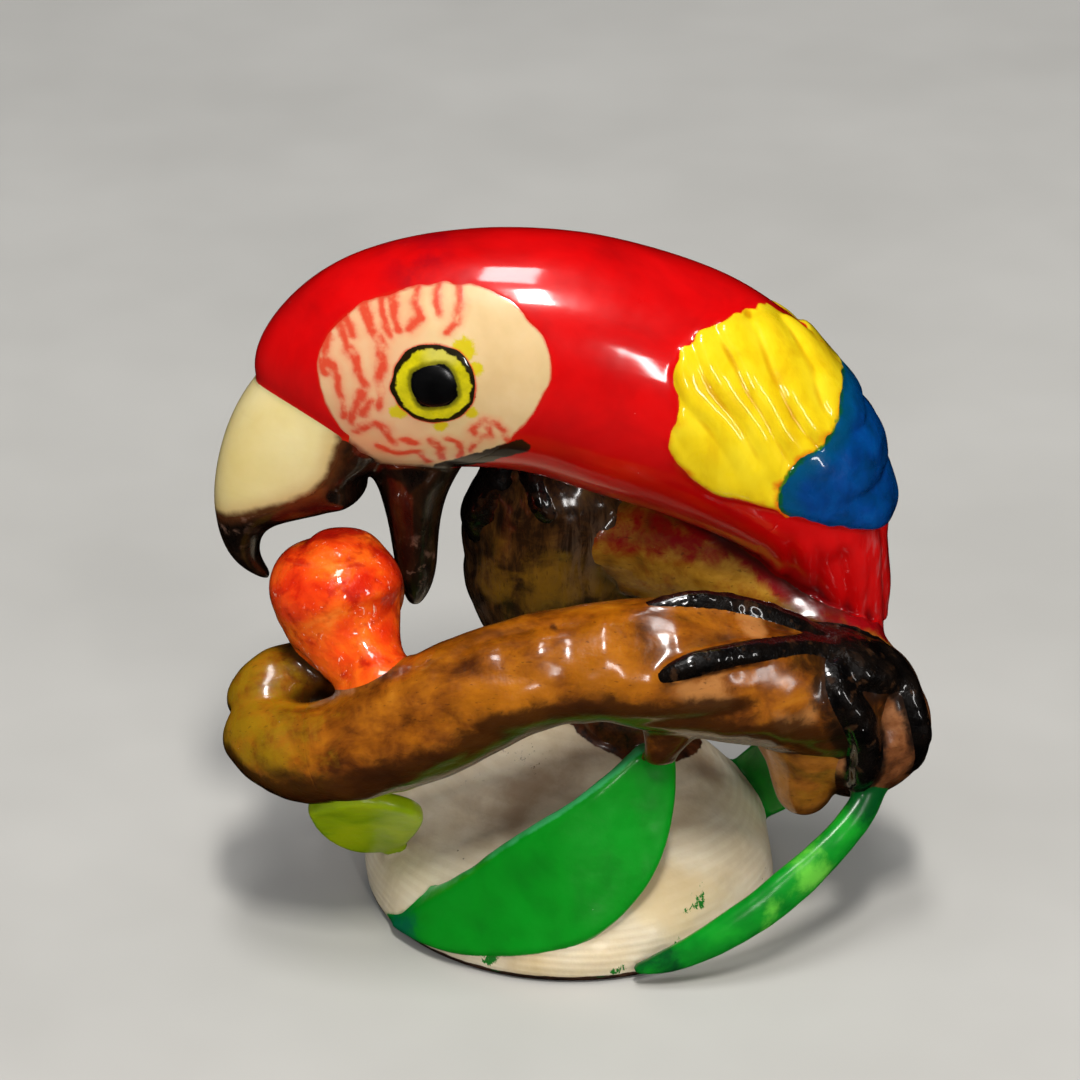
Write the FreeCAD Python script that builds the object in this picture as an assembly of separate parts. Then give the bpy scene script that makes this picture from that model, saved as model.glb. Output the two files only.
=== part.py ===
import FreeCAD, Part
import math
import os
from FreeCAD import Vector

# A small painted tagua-nut carving: a scarlet macaw on a curled branch over a nut base, with a fruit in its beak.
# Millimetres, +Z up. The origin is the centre of the flat underside. The beak points to -X, the tail to +X, and the
# macaw's left side faces -Y. Heights in the tables are above the seed coat, and build() lifts everything by its
# thickness.

# Driving dimensions
RING_POINTS = 16            # points on each cross-section
INLAY_DEPTH = 0.8           # how deep the painted and bare patches are let into the body
FEATHER_RELIEF = 0.3        # how far the wing feathers stand proud of the body
EYE_RELIEF = 0.15
PUPIL_RELIEF = 0.35
EYE_RADIUS = 2.65
EYE_CENTRE = (-8.9, 40.2)
PUPIL_RADIUS = 1.35
BASE_RADIUS = 13.9
SEED_COAT_THICKNESS = 0.6
LEAF_THICKNESS = 1.3
LEAF_CONE_RADIUS = 14.9     # the front leaf lies on a cone this wide at the bottom, which leans in towards the top
LEAF_CONE_SLOPE = 0.28
LEAF_LEFT_FOOT = (-3.2, 4.4)    # y and z of the left leaf's lowest line
LEAF_LEFT_TILT = 40
CLEAR = 20                  # reaches past the object on any side of its middle

# Cross-sections of the macaw in its plane of symmetry: x, z, half height, half width, from the brow to the tail tip
BODY_RINGS = [
    (-20.0, 36.9, 1.2, 1.1), (-19.3, 37.4, 2.8, 2.5), (-17.4, 38.1, 4.9, 4.3), (-13.5, 38.9, 7.0, 5.9),
    (-8.0, 39.6, 7.9, 6.6), (-2.0, 39.5, 8.2, 6.9), (3.0, 38.2, 8.4, 7.2), (8.0, 36.2, 8.2, 7.2),
    (12.2, 33.2, 7.3, 6.9), (15.5, 29.4, 5.8, 6.2), (17.3, 25.4, 4.2, 5.0), (18.5, 21.8, 3.0, 3.8),
    (19.6, 18.9, 1.7, 2.4),
]

# The two halves of the beak: x, z of the front edge, x, z of the rear edge, half width
UPPER_BEAK_RINGS = [
    (-18.2, 40.2, -12.0, 32.2, 4.6), (-20.4, 37.9, -13.0, 30.6, 4.4), (-22.3, 34.9, -14.0, 29.0, 4.1),
    (-23.4, 31.4, -16.6, 28.0, 3.5), (-23.7, 28.6, -19.4, 27.2, 2.7), (-23.4, 26.2, -20.6, 25.9, 1.9),
    (-22.5, 24.3, -20.8, 24.6, 1.3), (-21.2, 23.0, -20.5, 23.7, 0.8), (-20.2, 22.5, -20.0, 22.9, 0.4),
]
LOWER_BEAK_RINGS = [
    (-13.6, 33.5, -6.8, 33.5, 3.4), (-13.3, 31.6, -7.2, 31.4, 3.2), (-12.9, 30.0, -8.0, 29.8, 2.9),
    (-12.4, 28.0, -8.6, 27.8, 2.4), (-12.0, 25.6, -8.9, 25.4, 2.0), (-11.7, 23.4, -9.1, 23.2, 1.6),
    (-11.3, 21.8, -9.6, 21.6, 1.1), (-10.9, 20.8, -10.2, 20.7, 0.5),
]

# Limbs of the wood and the fruit: x, y, z, half height, half width
FRONT_BRANCH = [
    (19.0, -5.5, 16.0, 3.6, 3.6), (16.0, -6.6, 17.3, 4.0, 3.9), (12.5, -7.8, 18.9, 4.4, 4.1),
    (8.0, -8.9, 20.7, 4.6, 4.1), (3.5, -9.7, 21.6, 4.2, 3.9), (-1.0, -10.2, 21.4, 3.9, 3.8),
    (-5.0, -10.5, 20.1, 3.9, 3.9), (-9.0, -10.6, 18.1, 4.1, 4.0), (-13.0, -10.4, 16.1, 3.9, 3.9),
    (-16.5, -9.9, 15.0, 3.4, 3.6),
]
HOOK_BEND = [
    (-15.5, -10.1, 15.2, 3.5, 3.5), (-18.2, -9.3, 14.7, 3.3, 3.3), (-20.1, -7.8, 14.9, 3.1, 3.1),
    (-21.0, -6.0, 15.7, 2.6, 2.4),
]
HOOK_ARM = [
    (-21.4, -7.0, 15.4, 1.8, 1.8), (-20.5, -5.7, 16.6, 2.8, 2.7), (-18.5, -4.3, 17.4, 2.6, 2.6),
    (-16.9, -3.7, 17.2, 2.5, 2.5), (-15.7, -3.5, 16.8, 2.4, 2.3),
]
PERCH_LIMB = [
    (1.0, 4.0, 24.2, 3.6, 3.4), (5.0, 3.1, 23.8, 3.9, 3.6), (9.0, 1.8, 23.2, 4.0, 3.8),
    (13.0, -0.1, 21.8, 3.9, 3.8), (16.5, -2.2, 19.4, 3.6, 3.8), (19.0, -4.0, 16.6, 3.4, 3.8),
]
FRUIT = [
    (-15.9, -3.6, 27.6, 1.2, 1.2), (-15.8, -3.7, 26.9, 2.9, 2.9), (-15.6, -3.9, 25.4, 4.1, 4.1),
    (-15.4, -4.2, 23.6, 4.5, 4.4), (-14.8, -5.1, 22.0, 3.9, 3.9), (-14.0, -6.4, 20.9, 3.0, 3.0),
    (-13.1, -7.8, 19.9, 2.5, 2.5), (-12.3, -9.2, 18.7, 2.3, 2.3),
]
LEAF_RIGHT = [
    (4.0, -14.2, 0.7, 0.4, 0.4), (6.0, -14.1, 1.2, 0.8, 0.7), (8.8, -13.8, 2.4, 1.2, 0.8),
    (12.0, -13.0, 4.2, 1.5, 0.9), (15.0, -11.6, 6.1, 1.6, 0.9), (17.8, -9.9, 8.3, 1.4, 0.9),
    (19.8, -8.0, 10.4, 1.3, 0.9), (20.4, -7.2, 11.6, 1.1, 0.8),
]
LEAF_BACK = [
    (10.5, 6.5, 1.5, 1.5, 0.7), (12.5, 4.6, 3.5, 2.4, 0.8), (14.6, 2.2, 6.5, 2.6, 0.8),
    (16.6, -0.8, 9.6, 2.0, 0.8), (17.6, -2.8, 12.0, 1.4, 0.8),
]

# Upright columns: x, y, z, half width along x, half width along y
STUMP = [
    (4.2, 4.0, 7.5, 4.0, 3.6), (4.0, 4.0, 11.0, 3.9, 3.6), (2.6, 4.2, 14.0, 4.6, 3.8), (0.8, 4.4, 17.0, 5.8, 4.1),
    (-0.6, 4.5, 20.0, 6.5, 4.3), (-0.8, 4.5, 23.5, 6.6, 4.4), (-1.1, 4.4, 26.5, 6.0, 4.2),
    (-1.5, 4.2, 28.8, 4.8, 3.6), (-1.8, 4.0, 30.4, 2.6, 2.2),
]
BURL = [
    (19.5, -5.0, 9.3, 1.4, 1.6), (19.4, -4.9, 10.3, 3.0, 3.1), (19.4, -4.7, 12.1, 4.2, 4.3),
    (19.6, -4.5, 14.2, 4.4, 4.5), (19.7, -4.5, 16.2, 3.9, 4.2), (20.0, -4.5, 18.2, 3.0, 3.2),
    (20.3, -4.5, 19.6, 1.4, 1.6),
]
TWIG_STUB = [
    (15.4, -6.8, 15.5, 3.8, 2.6), (15.5, -6.9, 13.5, 3.2, 2.3), (15.6, -7.0, 11.4, 2.4, 1.9),
    (15.6, -7.0, 9.5, 1.7, 1.5), (15.5, -7.0, 8.7, 0.9, 0.9),
]
LEAF_STEM = [
    (7.0, -9.4, 18.6, 3.0, 2.4), (6.5, -10.0, 16.9, 2.0, 1.6), (6.0, -10.2, 15.5, 1.3, 1.1),
    (5.8, -10.2, 14.3, 1.1, 0.9),
]

# The claws lie on the wood, half sunk in it: x, y, z, half height, half width
LEFT_TOES = [
    [(17.6, -6.2, 20.6, 1.2, 1.2), (14.9, -6.3, 22.2, 1.0, 1.0), (13.1, -7.0, 23.7, 0.85, 0.9),
     (10.9, -7.8, 24.9, 0.75, 0.8), (8.7, -8.4, 25.6, 0.7, 0.7), (6.5, -8.9, 25.7, 0.6, 0.6),
     (4.8, -9.2, 25.4, 0.35, 0.35)],
    [(16.8, -7.4, 20.8, 1.1, 1.1), (14.1, -8.9, 22.1, 0.9, 0.9), (10.8, -11.1, 23.0, 0.8, 0.8),
     (8.2, -12.3, 23.1, 0.75, 0.75), (6.4, -12.9, 22.7, 0.6, 0.6), (5.6, -13.0, 22.3, 0.35, 0.35)],
    [(17.2, -7.6, 20.2, 1.5, 1.3), (17.6, -9.1, 18.8, 1.4, 1.2), (18.9, -9.1, 16.6, 1.3, 1.1),
     (19.4, -8.9, 13.9, 1.1, 1.0), (19.0, -8.3, 11.4, 0.6, 0.6)],
    [(19.6, -5.2, 19.6, 1.5, 1.3), (21.5, -5.6, 18.4, 1.3, 1.1), (22.6, -6.5, 16.4, 1.1, 1.0),
     (23.1, -6.8, 14.2, 1.0, 0.9), (22.6, -6.6, 11.9, 0.6, 0.6)],
]
LEFT_PALM = [
    (15.6, -5.6, 21.2, 0.8, 1.3), (16.8, -6.0, 20.7, 1.3, 2.4), (18.6, -6.1, 19.8, 1.6, 2.9),
    (20.3, -5.6, 18.8, 1.4, 2.5), (21.4, -5.2, 17.8, 0.8, 1.4),
]
RIGHT_TOES = [
    [(-3.4, 3.0, 30.2, 1.2, 1.3), (-5.0, 2.8, 28.7, 1.3, 1.4), (-6.0, 2.6, 26.9, 1.2, 1.3),
     (-6.5, 2.6, 25.3, 0.9, 1.0), (-6.3, 2.3, 24.3, 0.4, 0.5)],
    [(-2.6, 2.1, 30.1, 0.9, 0.9), (-2.4, 1.1, 29.0, 0.8, 0.8), (-2.0, 0.5, 27.9, 0.7, 0.7),
     (-1.2, 0.3, 27.0, 0.45, 0.45)],
    [(-2.8, 5.6, 30.0, 1.1, 1.2), (-4.2, 7.4, 28.4, 1.0, 1.1), (-5.0, 8.0, 26.4, 0.8, 0.9),
     (-5.2, 7.9, 25.0, 0.4, 0.4)],
]
RIGHT_PALM = [
    (-4.2, 3.0, 29.5, 0.9, 1.2), (-3.0, 4.0, 29.9, 1.3, 2.0), (-1.6, 4.4, 30.1, 1.2, 2.0), (-0.6, 4.6, 30.2, 0.6, 1.1),
]

# Outlines in the side view, x and z; each list is one smooth run and the next starts where it ends
LEAF_FRONT_OUTLINE = [
    [(-12.6, 0.1), (-9.0, 4.0), (-3.6, 9.2), (1.7, 12.9), (4.4, 14.8)],
    [(4.4, 14.8), (6.6, 14.9)],
    [(6.6, 14.9), (6.9, 12.0), (6.4, 8.6), (4.8, 5.6), (1.8, 3.2), (-2.6, 1.9), (-7.5, 0.8), (-12.6, 0.1)],
]
LEAF_LEFT_OUTLINE = [
    [(-17.6, 11.9), (-17.1, 8.6), (-16.1, 5.9), (-14.3, 4.3), (-12.3, 4.7), (-10.6, 7.2), (-10.0, 9.6)],
    [(-10.0, 9.6), (-11.5, 13.6), (-15.0, 14.4), (-17.6, 11.9)],
]
CHEEK_OUTLINE = [
    [(-14.3, 35.8), (-16.2, 38.9), (-16.1, 42.0), (-13.9, 44.4), (-10.0, 45.8), (-6.4, 46.1), (-3.0, 44.6),
     (-1.3, 41.4), (-2.4, 38.6), (-4.4, 35.6), (-7.7, 33.2)],
    [(-7.7, 33.2), (-8.5, 30.5)], [(-8.5, 30.5), (-15.0, 30.5)], [(-15.0, 30.5), (-14.3, 35.8)],
]
YELLOW_LOWER = [(6.6, 40.8), (6.8, 38.8), (6.4, 37.0), (7.2, 34.4), (9.3, 32.6), (11.6, 31.9), (13.9, 31.0)]
YELLOW_EDGE = {
    "left": [(15.2, 42.6), (12.8, 42.9), (10.4, 43.4), (7.8, 42.8)] + YELLOW_LOWER,
    "right": [(17.4, 41.4), (14.6, 40.9), (11.6, 41.6), (8.6, 42.0)] + YELLOW_LOWER,
}
YELLOW_TO_BLUE = [(13.9, 31.0), (13.4, 32.6), (14.2, 34.3), (15.8, 35.2), (17.1, 36.3), (17.5, 37.8), (19.0, 39.5)]
BLUE_TO_TAIL = [(23.0, 27.9), (20.7, 28.4), (18.5, 29.3), (16.3, 30.2), (13.9, 31.0)]
COVERTS_OUTLINE = {
    side: [edge, YELLOW_TO_BLUE, [(19.0, 39.5), edge[0]]] for side, edge in YELLOW_EDGE.items()
}
PRIMARIES_OUTLINE = [YELLOW_TO_BLUE, [(19.0, 39.5), (23.0, 36.0)], [(23.0, 36.0), (23.0, 27.9)], BLUE_TO_TAIL]
TAIL_OUTLINE = [
    BLUE_TO_TAIL, [(13.9, 31.0), (12.6, 28.6), (12.4, 24.0)], [(12.4, 24.0), (16.0, 15.0)],
    [(16.0, 15.0), (23.0, 15.0)], [(23.0, 15.0), (23.0, 27.9)],
]
BEAK_EDGE_OUTLINE = [
    [(-14.2, 37.5), (-15.3, 34.2), (-16.4, 31.6), (-18.2, 30.3), (-20.5, 29.3), (-23.3, 28.1), (-25.5, 27.3)],
    [(-25.5, 27.3), (-25.5, 20.0)], [(-25.5, 20.0), (-10.0, 20.0)], [(-10.0, 20.0), (-10.0, 37.5)],
    [(-10.0, 37.5), (-14.2, 37.5)],
]


# Hollows in the flanks of the nut: bearing, half width and depth. Then its levels: z, radius, x and y of the middle,
# and how strong the hollows are there
HOLLOWS = [(math.radians(-125), 0.55, 1.0), (math.radians(-50), 0.40, 0.8), (math.radians(75), 0.5, 0.7)]
NUT_LEVELS = [
    (0.0, 14.0, 0.0, 0.0, 0.0), (1.5, BASE_RADIUS, -0.1, -0.2, 0.01), (3.2, 13.5, -0.1, 0.0, 0.06),
    (5.0, 12.2, 0.0, 0.6, 0.14), (6.6, 10.0, 0.4, 1.6, 0.22), (8.0, 7.4, 0.7, 2.6, 0.22),
    (9.0, 4.9, 0.7, 3.5, 0.16), (9.8, 3.0, 0.4, 3.8, 0.1), (10.3, 1.6, 0.2, 3.9, 0.0),
]
FOOT_LEVELS = [(-SEED_COAT_THICKNESS, 13.6, 0.0, 0.0, 0.0), (-0.3, 13.9, 0.0, 0.0, 0.0), (0.0, 14.0, 0.0, 0.0, 0.0)]


def ring(centre, direction, up, half_up, half_side):
    """A closed smooth ellipse across `direction`, starting on its upper side."""
    side = direction.cross(up).normalize()
    over = side.cross(direction).normalize()
    turns = [2 * math.pi * i / RING_POINTS for i in range(RING_POINTS)]
    return closed_curve([centre + over * (half_up * math.cos(t)) + side * (half_side * math.sin(t)) for t in turns])


def closed_curve(points):
    curve = Part.BSplineCurve()
    curve.interpolate(Points=points, PeriodicFlag=True, Parameters=[float(i) for i in range(len(points) + 1)])
    return Part.Wire(curve.toShape())


def limb(stations, up=Vector(0, 0, 1), grow=0.0):
    """A solid through stations (x, y, z, half height, half width), each ring square to the run of the line."""
    places = [Vector(*s[:3]) for s in stations]
    rings = []
    for i, (x, y, z, half_up, half_side) in enumerate(stations):
        direction = (places[min(i + 1, len(places) - 1)] - places[max(i - 1, 0)]).normalize()
        rings.append(ring(places[i], direction, up, half_up + grow, half_side + grow))
    return Part.makeLoft(rings, True, False)


def column(stations):
    """A solid through level or nearly level rings, with the half widths along x and y."""
    return limb(stations, up=Vector(1, 0, 0))


def blade(pairs):
    """A solid whose rings each span a front and a rear point of the side view."""
    rings = []
    for front_x, front_z, rear_x, rear_z, half_width in pairs:
        front, rear = Vector(front_x, 0, front_z), Vector(rear_x, 0, rear_z)
        across = front - rear
        half_span = across.Length / 2
        across.normalize()
        rings.append(ring((front + rear) / 2, across.cross(Vector(0, 1, 0)), across, half_span, half_width))
    return Part.makeLoft(rings, True, False)


def prism(runs, y_from, y_to):
    """The outline given by smooth runs in x and z, pushed along y."""
    edges = []
    for run in runs:
        points = [Vector(x, y_from, z) for x, z in run]
        if len(points) == 2:
            edges.append(Part.LineSegment(*points).toShape())
        else:
            curve = Part.BSplineCurve()
            curve.interpolate(Points=points)
            edges.append(curve.toShape())
    return Part.Face(Part.Wire(edges)).extrude(Vector(0, y_to - y_from, 0))


def biggest(shape):
    return max(shape.Solids, key=lambda solid: solid.Volume)


def carve(shape, *others):
    """What is left of a shape once its neighbours are taken out."""
    return biggest(shape.cut(list(others)))


def body(grow=0.0):
    return limb([(x, 0, z, h, w) for x, z, h, w in BODY_RINGS], grow=grow)


def nut(z_levels):
    """The lobed mound of the base."""
    rings = []
    for z, radius, x, y, hollow in z_levels:
        points = []
        for i in range(RING_POINTS * 2):
            turn = 2 * math.pi * i / (RING_POINTS * 2)
            dent = hollow * sum(depth * math.exp(-(angle_gap(turn, at) / width) ** 2) for at, width, depth in HOLLOWS)
            r = radius * (1 - dent)
            points.append(Vector(x + r * math.cos(turn), y + r * math.sin(turn), z))
        rings.append(closed_curve(points))
    return Part.makeLoft(rings, True, False)


def angle_gap(a, b):
    return abs((a - b + math.pi) % (2 * math.pi) - math.pi)


def make_leaf_front():
    """A curved plate between two cones, cut to the leaf's outline."""
    radii = (LEAF_CONE_RADIUS, LEAF_CONE_RADIUS - LEAF_THICKNESS)
    outer, inner = [Part.makeCone(r, r - LEAF_CONE_SLOPE * CLEAR, CLEAR) for r in radii]
    return outer.cut(inner).common(prism(LEAF_FRONT_OUTLINE, -CLEAR, 0))


def make_leaf_left():
    """A flat leaf that leans from the nut's flank up to the underside of the hook."""
    y, z = LEAF_LEFT_FOOT
    leaf = prism(LEAF_LEFT_OUTLINE, y - LEAF_THICKNESS, y)
    leaf.rotate(Vector(0, y, z), Vector(1, 0, 0), LEAF_LEFT_TILT)
    return leaf


def patch(outline, side, relief):
    """A piece let into the macaw's skin on one side, standing proud of it by the relief."""
    block = prism(outline, 0, CLEAR * side)
    return biggest(body(relief).common(block).cut(body(-INLAY_DEPTH)))


def disc(radius, side, relief):
    """A round piece let into the skin at the eye."""
    x, z = EYE_CENTRE
    rod = Part.makeCylinder(radius, CLEAR, Vector(x, 0, z), Vector(0, side, 0))
    return biggest(body(relief).common(rod).cut(body(-INLAY_DEPTH)))


def joined(limbs):
    return limbs[0].fuse(limbs[1:])


def make_macaw(nodes):
    patches = {}
    for name, side in (("left", -1), ("right", 1)):
        pupil, eye = disc(PUPIL_RADIUS, side, PUPIL_RELIEF), disc(EYE_RADIUS, side, EYE_RELIEF)
        patches[f"pupil_{name}"] = pupil
        patches[f"eye_{name}"] = carve(eye, pupil)
        patches[f"cheek_{name}"] = carve(patch(CHEEK_OUTLINE, side, 0.0), eye, pupil)
        patches[f"wing_coverts_{name}"] = patch(COVERTS_OUTLINE[name], side, FEATHER_RELIEF)
        patches[f"wing_primaries_{name}"] = patch(PRIMARIES_OUTLINE, side, FEATHER_RELIEF)
    whole = body()
    tail = whole.common(prism(TAIL_OUTLINE, -CLEAR, CLEAR))
    nodes["tail"] = carve(tail, *patches.values())
    nodes["macaw_body"] = carve(whole.cut(tail), *patches.values())
    nodes.update(patches)


def make_beak(nodes, bird):
    upper, lower = blade(UPPER_BEAK_RINGS), blade(LOWER_BEAK_RINGS)
    edge = prism(BEAK_EDGE_OUTLINE, -CLEAR, CLEAR)
    nodes["upper_beak"] = carve(upper, bird, edge)
    nodes["upper_beak_edge"] = biggest(carve(upper, bird).common(edge))
    nodes["lower_beak"] = carve(lower, bird, upper)


def make_feet(nodes, skin):
    for name, toes, palm in (("left", LEFT_TOES, LEFT_PALM), ("right", RIGHT_TOES, RIGHT_PALM)):
        claws = [limb(toe, up=Vector(0, -1, 0)) for toe in toes]
        nodes[f"foot_{name}"] = carve(joined([limb(palm)] + claws), *skin)


def make_wood(nodes, skin):
    claws = [nodes["foot_left"], nodes["foot_right"]]
    burl, branch = column(BURL), limb(FRONT_BRANCH).fuse(column(LEAF_STEM))
    stump = carve(column(STUMP), nodes["nut_base"], *skin)
    nodes["burl"] = carve(burl, *skin, *claws)
    nodes["front_branch"] = carve(branch, burl, *claws)
    nodes["branch_hook"] = carve(limb(HOOK_BEND).fuse(limb(HOOK_ARM)), branch)
    nodes["stump"] = carve(stump, *claws)
    nodes["perch_limb"] = carve(limb(PERCH_LIMB), stump, burl, branch, *skin, *claws)
    nodes["twig_stub"] = carve(column(TWIG_STUB), branch, burl)


def make_fruit_and_leaves(nodes):
    wood = [nodes[n] for n in ("front_branch", "branch_hook", "burl", "perch_limb", "twig_stub", "nut_base")]
    beak = [nodes[n] for n in ("upper_beak", "upper_beak_edge", "lower_beak")]
    nodes["fruit"] = carve(limb(FRUIT, up=Vector(1, 0, 0)), *wood, *beak)
    nodes["leaf_front"] = carve(make_leaf_front(), *wood)
    nodes["leaf_right"] = carve(limb(LEAF_RIGHT), *wood, nodes["foot_left"])
    nodes["leaf_left"] = carve(make_leaf_left(), *wood)
    nodes["leaf_back"] = carve(limb(LEAF_BACK), *wood, nodes["leaf_right"])


def build():
    nodes = {"seed_coat_foot": nut(FOOT_LEVELS), "nut_base": nut(NUT_LEVELS)}
    bird = body()
    make_macaw(nodes)
    make_beak(nodes, bird)
    skin = [bird] + [shape for name, shape in nodes.items() if name.startswith("wing")]
    make_feet(nodes, skin)
    make_wood(nodes, skin)
    make_fruit_and_leaves(nodes)
    for shape in nodes.values():
        shape.translate(Vector(0, 0, SEED_COAT_THICKNESS))
    return nodes


os.makedirs("parts", exist_ok=True)
for name, shape in build().items():
    shape.exportStep(f"parts/{name}.step")
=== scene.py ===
import math

import bpy
import numpy as np
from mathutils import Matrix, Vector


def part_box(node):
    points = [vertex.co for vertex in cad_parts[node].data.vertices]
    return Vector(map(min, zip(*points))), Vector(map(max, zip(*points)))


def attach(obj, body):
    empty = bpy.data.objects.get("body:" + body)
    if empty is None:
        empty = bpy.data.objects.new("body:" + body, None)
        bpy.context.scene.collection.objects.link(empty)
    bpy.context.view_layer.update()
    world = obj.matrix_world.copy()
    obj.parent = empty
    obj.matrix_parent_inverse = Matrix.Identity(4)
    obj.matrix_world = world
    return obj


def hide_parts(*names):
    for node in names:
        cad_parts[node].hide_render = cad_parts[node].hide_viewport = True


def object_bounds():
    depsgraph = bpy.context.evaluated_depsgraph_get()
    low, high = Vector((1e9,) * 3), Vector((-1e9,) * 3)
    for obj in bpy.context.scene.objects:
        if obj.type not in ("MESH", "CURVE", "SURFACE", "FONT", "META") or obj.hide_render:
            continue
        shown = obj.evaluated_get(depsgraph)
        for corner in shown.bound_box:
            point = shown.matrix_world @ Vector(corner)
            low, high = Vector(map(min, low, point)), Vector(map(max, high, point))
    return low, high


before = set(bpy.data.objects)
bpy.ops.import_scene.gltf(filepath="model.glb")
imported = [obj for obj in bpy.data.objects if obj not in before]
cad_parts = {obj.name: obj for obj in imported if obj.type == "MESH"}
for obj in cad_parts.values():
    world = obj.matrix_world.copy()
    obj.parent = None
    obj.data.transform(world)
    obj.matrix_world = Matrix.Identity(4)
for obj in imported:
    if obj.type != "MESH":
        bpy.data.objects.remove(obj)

import openvdb
from mathutils import Vector

# A small painted tagua-nut macaw on a curled branch. The CAD nodes are turned into distance fields, melted
# into one carved skin with soft inner corners, given feather, tool and paint relief, and then cut back into
# one mesh for each node along the painted edges. Every piece gets a node-based material. Lengths are
# millimetres unless a comment says otherwise, and places on the object are fractions of a node's box.

CAD_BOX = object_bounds()
MM = 1000.0
VOXEL = 0.16
BAND = 1.6                      # how far from a surface the distance fields are kept
MARGIN = 1.0                    # room round each node for the rounded inner corners
SEAM_GAP = 0.03                 # closes the hairline between nodes that meet face to face
DIVE_GENTLE, DIVE_STEEP = 0.1, 1.2      # slopes of a piece's dive under its neighbour, near and past the seam
DIVE_EDGE = 0.25                # how far past the seam the steep slope begins
OVERHANG = 0.7                  # how far the skin may stand outside its own node
SKIN_BLUR, RELIEF_BLUR = 1.1, 0.8       # in voxels, for the melted skin and for the finished relief
HOLLOW = 0.9                    # size of the hollows that the finishes darken as painted shade
SHELL = 0.8                     # depth of the layer that takes relief
RAG_DEPTH, RAG_SIZE = 0.5, 0.9  # depth of the layer whose painted edges are ragged, and the size of the rags


def pair(name):
    return name + "_left", name + "_right"


BIRD = ("macaw_body", "tail", *pair("cheek"), *pair("eye"), *pair("pupil"), *pair("wing_coverts"),
        *pair("wing_primaries"))
BEAK = ("upper_beak", "upper_beak_edge", "lower_beak")
WOOD = ("stump", "perch_limb", "burl", "front_branch", "branch_hook", "twig_stub")
CLAWS = pair("foot")
NUT = ("nut_base", "seed_coat_foot")
LEAVES = ("leaf_front", "leaf_right", "leaf_left", "leaf_back")
NODES = BIRD + BEAK + WOOD + CLAWS + NUT + LEAVES + ("fruit",)

# Each group melts into the groups before it over its own width; the wood comes first
MELTS = ((("fruit",), 0.8), (NUT, 1.5), (CLAWS, 0.5), (BIRD + BEAK, 0.4), (LEAVES, 0.3))


# ------------------------------------------------------------------------------------- distance fields

def box_mm(node):
    """The low and high corners of a node's box, in millimetres."""
    low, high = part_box(node)
    return np.array(low) * MM, np.array(high) * MM


def at(node, fx, fy, fz):
    """A point at fractions of a node's box, in millimetres."""
    low, high = box_mm(node)
    return low + (high - low) * np.array((fx, fy, fz))


class Field:
    """A block of the distance field: its values and the voxel index of its first corner."""

    def __init__(self, values, low):
        self.values, self.low = values, np.array(low, int)

    def within(self, whole):
        """The slices of another field that this block covers."""
        start = self.low - whole.low
        return tuple(slice(a, a + n) for a, n in zip(start, self.values.shape))

    def at(self, points):
        """Values at points in millimetres, by linear interpolation."""
        p = points / VOXEL - self.low
        cell = np.clip(np.floor(p).astype(int), 0, np.array(self.values.shape) - 2)
        f = np.clip(p - cell, 0, 1)
        total = np.zeros(len(p))
        for i, j, k in np.ndindex(2, 2, 2):
            weight = (f[:, 0] if i else 1 - f[:, 0]) * (f[:, 1] if j else 1 - f[:, 1])
            weight *= f[:, 2] if k else 1 - f[:, 2]
            total += weight * self.values[cell[:, 0] + i, cell[:, 1] + j, cell[:, 2] + k]
        return total


def distance(points, triangles, quads, low, shape):
    """The distance field of a closed mesh, over a block of that shape."""
    grid = openvdb.FloatGrid.createLevelSetFromPolygons(
        points.astype(np.float32), triangles=triangles.astype(np.uint32), quads=quads.astype(np.uint32),
        transform=openvdb.createLinearTransform(VOXEL), halfWidth=BAND / VOXEL)
    values = np.empty(shape, np.float32)
    grid.copyToArray(values, ijk=tuple(int(v) for v in low))
    return Field(values, low)


def node_field(node):
    """The distance field of a CAD node."""
    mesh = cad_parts[node].data
    mesh.calc_loop_triangles()
    points = np.empty(len(mesh.vertices) * 3, np.float32)
    mesh.vertices.foreach_get("co", points)
    triangles = np.empty(len(mesh.loop_triangles) * 3, np.int32)
    mesh.loop_triangles.foreach_get("vertices", triangles)
    points = points.reshape(-1, 3) * MM
    low = np.floor((points.min(0) - MARGIN) / VOXEL).astype(int)
    high = np.ceil((points.max(0) + MARGIN) / VOXEL).astype(int)
    return distance(points, triangles.reshape(-1, 3), np.zeros((0, 4)), low, high - low + 1)


def polygons(field):
    """Points, triangles and quads of the surface where a field is 0."""
    grid = openvdb.FloatGrid(BAND)
    grid.transform = openvdb.createLinearTransform(VOXEL)
    grid.copyFromArray(np.ascontiguousarray(field.values, np.float32), ijk=tuple(int(v) for v in field.low))
    return grid.convertToPolygons(isovalue=0.0, adaptivity=0.0)


def blurred(values, sigma):
    """Gaussian blur over voxels."""
    reach = int(math.ceil(2.5 * sigma))
    taps = np.exp(-0.5 * (np.arange(-reach, reach + 1) / sigma) ** 2)
    taps /= taps.sum()
    for axis in range(3):
        pad = [(reach, reach) if a == axis else (0, 0) for a in range(3)]
        padded = np.pad(values, pad, mode="edge")
        total = np.zeros_like(values)
        for i, tap in enumerate(taps):
            cut = [slice(None)] * 3
            cut[axis] = slice(i, i + values.shape[axis])
            total += np.float32(tap) * padded[tuple(cut)]
        values = total
    return values


def melt(a, b, width):
    """The union of two fields, with the corner between them filled over that width."""
    h = np.maximum(width - np.abs(a - b), 0) / width
    return np.minimum(a, b) - h * h * width * 0.25


def smooth_step(value, low, high):
    """0 below low and 1 above high, with a soft step between."""
    t = np.clip((value - low) / (high - low), 0, 1)
    return t * t * (3 - 2 * t)


LATTICE = np.random.default_rng(11).random((32, 32, 32)).astype(np.float32) * 2 - 1


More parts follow.
